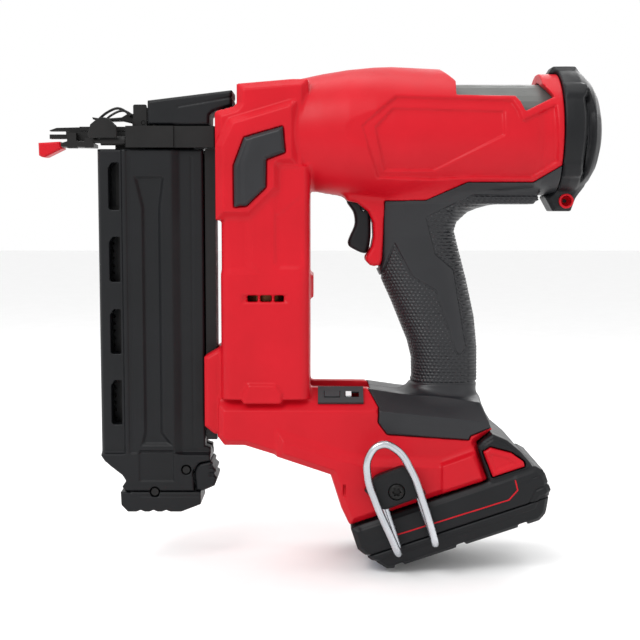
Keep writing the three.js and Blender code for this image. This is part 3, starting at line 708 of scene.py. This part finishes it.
# ---------------------------------------------------------------- bumper pads, rear cap, shield
def add_side_pads():
    def shape(x, y, z):
        side = -y
        pad = chamfered(polygon(x, z, PAD_SIDE), side - 36.5, 1.8)
        ridge = polyline(x, z, [(114.6, -43), (114.8, -18), (119, -5)])
        return np.maximum(grooved(pad, ridge, 0.35, 2.2), 32.8 - side)

    pad = moulded("side_pad_left_rubber", shape, (109, -37.2, -44), (141, -32, 3), 0.5, RUBBER)
    other = mirrored(pad, "side_pad_right_rubber")
    finish_piece(pad, "tool_body", "grip_rubber", "side_pad_left")
    finish_piece(other, "tool_body", "grip_rubber", "side_pad_right")


CAP_SCREW_AT = (300.4, -39.4)
CAP_PROFILE = [(294.8, 36), (300, 36.4), (305, 36), (309, 33.4), (313.5, 29), (317, 23), (319.4, 15),
               (320.1, 0)]
CAP_CRESCENT = [(309.5, 25), (304.8, 18), (305.6, 6), (304.4, -20), (306.4, -30), (311, -24),
                (313.2, -6), (313, 10)]


def add_rear_cap():
    stations, radii = zip(*CAP_PROFILE)

    def shape(x, y, z):
        side = np.abs(y)
        radius = np.interp(x, stations, radii)
        turn = np.hypot(y, z)
        body = np.maximum((turn - radius) * 0.8, 294.8 - x)
        body = np.maximum(body, x - 320.1)
        lug = chamfered(polygon(x, z, [(290, 33.6), (292.4, 37.5), (305.5, 37.5), (309, 29.5),
                                       (309, 20), (294.8, 20),
                                       (294.8, 31)]), side - 9, 2.5)
        boss = chamfered(polygon(x, z, [(288.4, -37), (293, -45.3), (303.6, -45.3), (306.2, -38),
                                        (310.5, -31), (303, -24),
                                        (294.8, -24), (292.8, -33)]), side - 11.5, 2.5)
        body = join(join(body, lug, 2.5), boss, 3)
        for slant in (52, 128):
            angle = math.radians(slant)
            rib = slab(np.abs(side * math.cos(angle) - z * math.sin(angle)) - 5, turn - 36.8, 2)
            body = join(body, np.maximum(rib, span(x, 296, 308)), 2)
        crescent = polygon(x, z, CAP_CRESCENT)
        body = raised(body, np.maximum(crescent, 12 - side), -3.4, 3)
        disc = np.hypot(y, z) - 15
        body = raised(body, np.maximum(disc, 309 - x), -1.5, 1.5)
        hole = np.maximum(np.hypot(x - CAP_SCREW_AT[0], z - CAP_SCREW_AT[1]) - 3.6, y + 6)
        body = np.maximum(body, -hole)
        hollow = np.maximum(turn - 30, x - 308)
        return np.maximum(body, -hollow)

    cap = moulded("rear_cap_shell", shape, (283, -37.2, -46), (321, 37.2, 38.5), 0.65, BLACK)
    finish_piece(cap, "tool_body", "black_plastic", "rear_cap")


def add_cap_screw():
    def shape(x, y, z):
        turn = np.hypot(x - CAP_SCREW_AT[0], z - CAP_SCREW_AT[1])
        ring = slab(turn - 4.3, span(y, -12.4, -6), 0.5)
        return np.maximum(ring, -(turn - 3.0 + np.maximum(y + 8, 0)))

    ring = moulded("cap_screw_ring", shape, (295, -13, -45), (306, -5, -34), 0.3, RED)
    finish_piece(ring, "tool_body", "red_shell", "cap_screw")


def add_top_shield():
    side_outline = [(60.3, 3.9), (60.3, 17.6), (108.6, 23.5), (108.6, 14.4), (98.2, 11.6), (95.6, 9.4),
                    (95.4, 3.9)]

    def shape(x, y, z):
        side = np.abs(y)
        body = chamfered(polygon(x, z, side_outline), side - 14.6, 1.3)
        body = grooved(body, polyline(x, z, [(77.8, 14.2), (112, 20)]), 0.6, 0.8)
        inner = np.maximum(polygon(x, z, [(62.5, -5), (62.5, 15), (94, 18), (94, -5)]), side - 12)
        return np.maximum(body, -inner)

    shield = moulded("top_shield_shell", shape, (60, -15, 3), (111, 15, 25), 0.5, BLACK)
    finish_piece(shield, "tool_body", "black_plastic", "top_shield")


# ---------------------------------------------------------------- magazine
MAGAZINE_RELIEF = [(30.4, 9.6), (32.6, 11.6), (44.2, 11.6), (45.2, 14), (47, 14), (48, 13), (73.2, 13),
                   (77.2, 10.6), (78.2, 10.1), (91.4, 10.1)]
CENTRE_RECESS = [(51.4, -24.9), (69.6, -24.9), (67.2, -43.7), (67.2, -173.8), (73.5, -182.2),
                 (53.5, -182.2), (55.8, -173.8), (55.8, -43.7)]
SLOT_RANGES = [(-44.5, -17.5), (-86, -60), (-128, -102), (-169.5, -143.5)]
MAGAZINE_SIDE = [(30.5, -9.7), (91.4, -9.7), (91.4, -182.5), (94.6, -183.5), (94.6, -190.6), (88, -192),
                 (84.2, -197), (85, -208.9), (44.8, -208.8), (42.6, -206.4), (45, -202.8), (43, -199.4),
                 (35.9, -193.8), (32.6, -190.8), (30.5, -187.5)]


def add_magazine():
    def shape(x, y, z):
        side = np.abs(y)
        relief = curve(x, MAGAZINE_RELIEF) + np.clip((-186 - z) / 1.5, 0, 1) * 4
        relief = np.minimum(relief, 14)
        body = chamfered(polygon(x, z, MAGAZINE_SIDE), side - relief, 0.9)
        body = raised(body, polygon(x, z, CENTRE_RECESS), -1.8, 2.0)
        blank_plate = polygon(x, z, [(52.8, -184.6), (73.4, -184.6), (73.4, -203), (52.8, -203)])
        body = raised(body, np.maximum(blank_plate, 6 - side), -1.0, 0.6)
        for line in (49.6, 84.6):
            body = grooved(body, np.where((z < -14) & (z > -183), x - line, 9), 0.45, 0.6)
        for low, high in SLOT_RANGES:
            slot = polygon(x, z, [(37, low + 1), (37, high - 3), (39, high), (43, high), (43, low),
                                  (38, low)])
            body = np.maximum(body, -np.maximum(slot, y + 1.5))
        hollow = block(x, y, z, (32.5, -1.7, -186), (100, 3.4, 0))
        body = np.maximum(body, -hollow)
        for screw_x, screw_z in ((62, -209), (80.5, -196)):
            body = np.maximum(body, -np.maximum(np.hypot(x - screw_x, z - screw_z) - 2.9, 5.8 - side))
        return body

    cover = moulded("magazine_cover_shell", shape, (30, -14.6, -209), (95, 14.6, -9.6), 0.55, BLACK)
    finish_piece(cover, "magazine_body", "black_plastic", "magazine_cover")


def add_magazine_foot():
    outline = [(41.9, -209.1), (88.9, -209.1), (88.9, -216.4), (77.3, -220.9), (71, -220.9),
               (68.5, -219.9), (66, -220.9), (63.5, -220.9), (61, -219.9), (58.5, -220.9), (56, -220.9),
               (53.5, -219.9), (51, -220.9), (46, -220.9), (42.2, -216.8)]

    def shape(x, y, z):
        side = np.abs(y)
        body = slab(polygon(x, z, outline), side - 14.6, 0.9)
        body = np.maximum(body, -np.maximum(np.hypot(x - 62, z + 209) - 2.9, 5.8 - side))
        return grooved(body, polyline(x, z, [(46, -209), (54, -211.6), (88, -211.6)]), 0.5, 0.6)

    foot = moulded("magazine_foot_pad", shape, (41, -15, -221.2), (90, 15, -208.6), 0.5, BLACK)
    finish_piece(foot, "magazine_body", "black_plastic", "magazine_foot")


def add_magazine_release():
    outline = [(88.4, -192.6), (94.8, -191), (97.4, -194), (98.4, -202), (96.8, -205.8), (90, -208.8),
               (86, -208.8), (85, -198), (86, -194.6)]

    def shape(x, y, z):
        side = np.abs(y)
        body = chamfered(polygon(x, z, outline), side - 13, 1.2)
        ripple = 0.6 * np.clip(np.sin(z * 2 * math.pi / 4.6) * 1.6, -1, 1)
        ribs = np.clip((x - 93) / 2, 0, 1) * np.clip(z + 203, 0, 1)
        return body + ribs * (0.6 - ripple)

    pad = moulded("magazine_release_pad", shape, (84.6, -13.4, -208.9), (98.7, 13.4, -190.8), 0.45, BLACK)
    finish_piece(pad, "release_body", "black_plastic", "magazine_release")


# ---------------------------------------------------------------- trigger
def add_trigger():
    outline = smooth([(174.6, -38.8), (178.2, -46), (178.9, -53), (176, -60), (175, -63.8),
                      (177, -66.6), (185.4, -69.6), (188, -62), (188.2, -50), (187.8, -38.8)])

    def shape(x, y, z):
        side = np.abs(y)
        body = slab(polygon(x, z, outline), side - 7.2, 2.6)
        return np.maximum(body, -(np.hypot(x - 184, z + 43.5) - 1.6))

    trigger = moulded("trigger_shell", shape, (174, -7.4, -70), (190, 7.4, -38), 0.4, BLACK)
    finish_piece(trigger, "trigger_body", "black_plastic", "trigger")


# ---------------------------------------------------------------- battery
PACK_SIDE = [(-56.7, 31), (-56.7, 18), (-49, 5.6), (-45, 1), (-41, 0), (47, 0), (52.2, 3), (58.4, 15),
             (58.1, 27.5), (54, 32)]
HUMP_SIDE = [(26.4, 30), (26.4, 52.6), (30, 55), (36.8, 57), (43.5, 51), (48.6, 42.6), (52.2, 34),
             (52.4, 30)]
BUTTON_SIDE = [(29.2, 33.8), (28.5, 49.2), (33, 50.4), (43.5, 43.5), (48.4, 36.6), (48.2, 33.8)]
PACK_NOTCHES = (-37, 0, 37)
LABEL_SIDE = [(-52, 30.4), (-52, 21.5), (-47, 18.4), (33.8, 17.4), (41, 22), (41.4, 30.4)]


def pack_shape(x, y, z):
    """The whole battery in its own level coordinates."""
    side = np.abs(y)
    body = chamfered(polygon(x, z, PACK_SIDE), side - 37.4, 3)
    for place in PACK_NOTCHES:
        notch = polygon(x, z, [(place - 2.6, -1), (place - 1.6, 2.2), (place + 1.6, 2.2), (place + 2.6, -1)])
        body = np.maximum(body, -np.maximum(notch, 30 - side))
    hump = chamfered(polygon(x, z, HUMP_SIDE), side - 36.6, 2.4)
    body = join(body, hump, 1)
    body = raised(body, polygon(x, z, LABEL_SIDE), -0.35, 0.5)
    body = grooved(body, polyline(x, z, [(-57, 12.8), (44, 12.8), (50, 19), (59, 20)]), 1.1, 0.9)
    body = grooved(body, polyline(x, z, [(43, 26), (48, 26), (59, 27)]), 0.7, 0.7)
    step = polygon(x, z, [(-60, 9.5), (46, 9.5), (51, 15.5), (60, 16), (60, -3), (-60, -3)])
    body = raised(body, step, -0.9, 0.9)
    rim = polygon(x, z, HUMP_SIDE)
    body = grooved(body, np.where(z > 32, rim + 2.2, 9), 0.7, 0.7)
    pocket = np.maximum(polygon(x, z, BUTTON_SIDE) - 0.7, 27.6 - side)
    body = np.maximum(body, -pocket)
    head = block(x, y, z, (-36, -24, 30), (27, 24, 46))
    rails = block(x, side, z, (-40, 20, 32.4), (26, 30, 37))
    body = join(body, np.maximum(head, -rails))
    for place in (-16, -8, 8, 16):
        body = np.maximum(body, -block(x, y, z, (-40, place - 1, 37), (10, place + 1, 60)))
    return np.maximum(body, -block(x, y, z, (-52, -34, 3), (52, 34, 29)))


def add_pack():
    def upper(x, y, z):
        return np.maximum(pack_shape(x, y, z), 12.9 - z)

    def lower(x, y, z):
        return np.maximum(pack_shape(x, y, z), z - 12.7)

    cover = moulded("pack_cover_shell", upper, (-57, -37.5, 12), (59, 37.5, 58), 0.65, BLACK, in_pack=True)
    case = moulded("pack_case_shell", lower, (-57, -37.5, 0), (59, 37.5, 14), 0.65, BLACK, in_pack=True)
    finish_piece(cover, "battery_body", "black_plastic", "pack_cover")
    finish_piece(case, "battery_body", "black_plastic", "pack_case")


def add_pack_buttons():
    def shape(x, y, z):
        side = -y
        body = chamfered(polygon(x, z, BUTTON_SIDE), side - 37.2, 1.2)
        dish = polygon(x, z, [(31, 36), (30.5, 46.5), (33.5, 47), (41, 42), (44.5, 36.6)])
        return np.maximum(raised(body, dish, -0.8, 1.6), 31.5 - side)

    button = moulded("pack_button_left_cap", shape, (27, -37.4, 33), (50, -31, 52), 0.5, RED, in_pack=True)
    other = mirrored(button, "pack_button_right_cap")
    finish_piece(button, "pack_latch_left", "red_shell", "pack_button_left")
    finish_piece(other, "pack_latch_right", "red_shell", "pack_button_right")


def add_pack_stripe():
    """The thin red line under the plain label."""
    def shape(x, y, z):
        line = polyline(x, z, [(-34, 19.6), (33.8, 18.6), (40.2, 22.4), (40.6, 28)]) - 0.42
        return np.maximum(line, span(-y, 36.7, 37.35))

    stripe = moulded("pack_stripe_left", shape, (-36, -37.6, 17), (43, -36.4, 30), 0.3, RED, in_pack=True)
    other = mirrored(stripe, "pack_stripe_right")
    finish_piece(stripe, "battery_body", "red_shell")
    finish_piece(other, "battery_body", "red_shell")


# ---------------------------------------------------------------- belt hook
INNER_Y = -40.5
OUTER_Y = -50
HOOK_PATH = [(194, INNER_Y, -206), (196.5, INNER_Y, -215), (201.6, INNER_Y, -231), (203, -42, -236.5),
             (202, -48.6, -235), (199.5, OUTER_Y, -229), (189.5, OUTER_Y, -206), (185.2, OUTER_Y, -192),
             (186, OUTER_Y, -180.5), (192.5, OUTER_Y, -174.3), (201, OUTER_Y, -177),
             (209.5, OUTER_Y, -189), (216, OUTER_Y, -206), (221.5, OUTER_Y, -224), (223, -48.6, -230),
             (223, -42, -230), (221, INNER_Y, -224), (216, INNER_Y, -210), (213, INNER_Y, -199)]


def add_belt_hook():
    hook = wire("belt_hook_wire", [at(*point) for point in HOOK_PATH], 2.15 * MM, BRIGHT_STEEL, 14)
    finish_piece(hook, "tool_body", "bright_steel", "belt_hook")


def add_hook_screw():
    """A round head with a six-lobed drive recess."""
    def shape(x, y, z):
        dx, dz = x - 201.7, z + 202.2
        turn = np.hypot(dx, dz)
        head = chamfered(turn - 4.4, span(y, -44.9, -36.4), 0.8)
        lobes = turn - 2.1 - 0.45 * np.cos(6 * np.arctan2(dz, dx))
        return np.maximum(head, -np.maximum(lobes, y + 42.6))

    screw = moulded("hook_screw_head", shape, (197, -45, -207), (206.5, -36.3, -197.5), 0.25, DARK_STEEL)
    finish_piece(screw, "tool_body", "dark_steel", "hook_screw")


def add_spring(name, node, axis, centre, low, high, radius, wire_radius, turns):
    """A coil along one axis between two stations, in place of its CAD sleeve."""
    points = []
    for step in range(turns * 12 + 1):
        angle = step * math.pi / 6
        place = low + (high - low) * step / (turns * 12)
        around = (radius * math.cos(angle), radius * math.sin(angle))
        if axis == "x":
            points.append(at(place, centre[0] + around[0], centre[1] + around[1]))
        else:
            points.append(at(centre[0] + around[0], centre[1] + around[1], place))
    coil = wire(name, points, wire_radius * MM, DARK_STEEL, 6)
    finish_piece(coil, "tool_body", "bright_steel", node)


# ---------------------------------------------------------------- CAD nodes that stay
KEPT = {
    "drive_cylinder": CYLINDER, "fill_plug": BRIGHT_STEEL, "drive_bumper": RUBBER,
    "drive_piston": BRIGHT_STEEL, "piston_seal": RUBBER, "driver_blade": BRIGHT_STEEL,
    "lifter_wheel": DARK_STEEL, "gear_case": DARK_STEEL, "motor_stator": COPPER,
    "motor_rotor": DARK_STEEL, "cooling_fan": BLACK, "nose_plate": DARK_STEEL, "nose_gate": DARK_STEEL,
    "gate_pin": DARK_STEEL, "latch_pin": DARK_STEEL, "latch_lever": DARK_STEEL, "bail_wire": DARK_STEEL,
    "no_mar_tip": RED, "contact_arm": DARK_STEEL, "depth_wheel": DARK_STEEL,
    "magazine_rail": DARK_STEEL, "nail_strip": DARK_STEEL, "foot_screw_1": DARK_STEEL,
    "foot_screw_2": DARK_STEEL, "nail_pusher": DARK_STEEL, "trigger_pin": DARK_STEEL,
    "trigger_switch": BLACK, "control_plate": PANEL, "mode_button": PANEL, "slide_switch": WHITE,
    "control_board": BOARD, "hook_bracket": BLACK, "cell_block": CELLS, "terminal_block": BLACK,
}
BEVELS = {"no_mar_tip": 0.8, "hook_bracket": 0.7, "nose_plate": 0.3, "nose_gate": 0.3, "latch_lever": 0.3,
          "contact_arm": 0.4, "control_plate": 0.4, "mode_button": 1.7, "slide_switch": 0.3,
          "magazine_rail": 0.3}


def dress_kept_nodes():
    """Materials, and rounded rims where they show, for the CAD nodes that stay."""
    for name, material in KEPT.items():
        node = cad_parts[name]
        node.data.materials.clear()
        node.data.materials.append(material)
        if name in BEVELS:
            bevel = node.modifiers.new("rims", "BEVEL")
            bevel.width = BEVELS[name] * MM
            bevel.segments = 3
            bevel.limit_method = "ANGLE"
            bevel.angle_limit = math.radians(35)
            bevel.harden_normals = True


add_camera()
add_studio()
add_floor()
add_housing()
add_grip()
add_side_pads()
add_rear_cap()
add_cap_screw()
add_top_shield()
add_magazine()
add_magazine_foot()
add_magazine_release()
add_trigger()
add_pack()
add_pack_buttons()
add_pack_stripe()
add_belt_hook()
add_hook_screw()
add_spring("trigger_spring_coil", "trigger_spring", "x", (0, -58), 189.8, 202.4, 2.5, 0.4, 6)
add_spring("contact_spring_coil", "contact_spring", "x", (-10.5, -5), 47.6, 57.4, 2.5, 0.45, 5)
add_spring("pusher_spring_coil", "pusher_spring", "z", (36, 0.85), -184.5, -56, 1.6, 0.3, 30)
dress_kept_nodes()
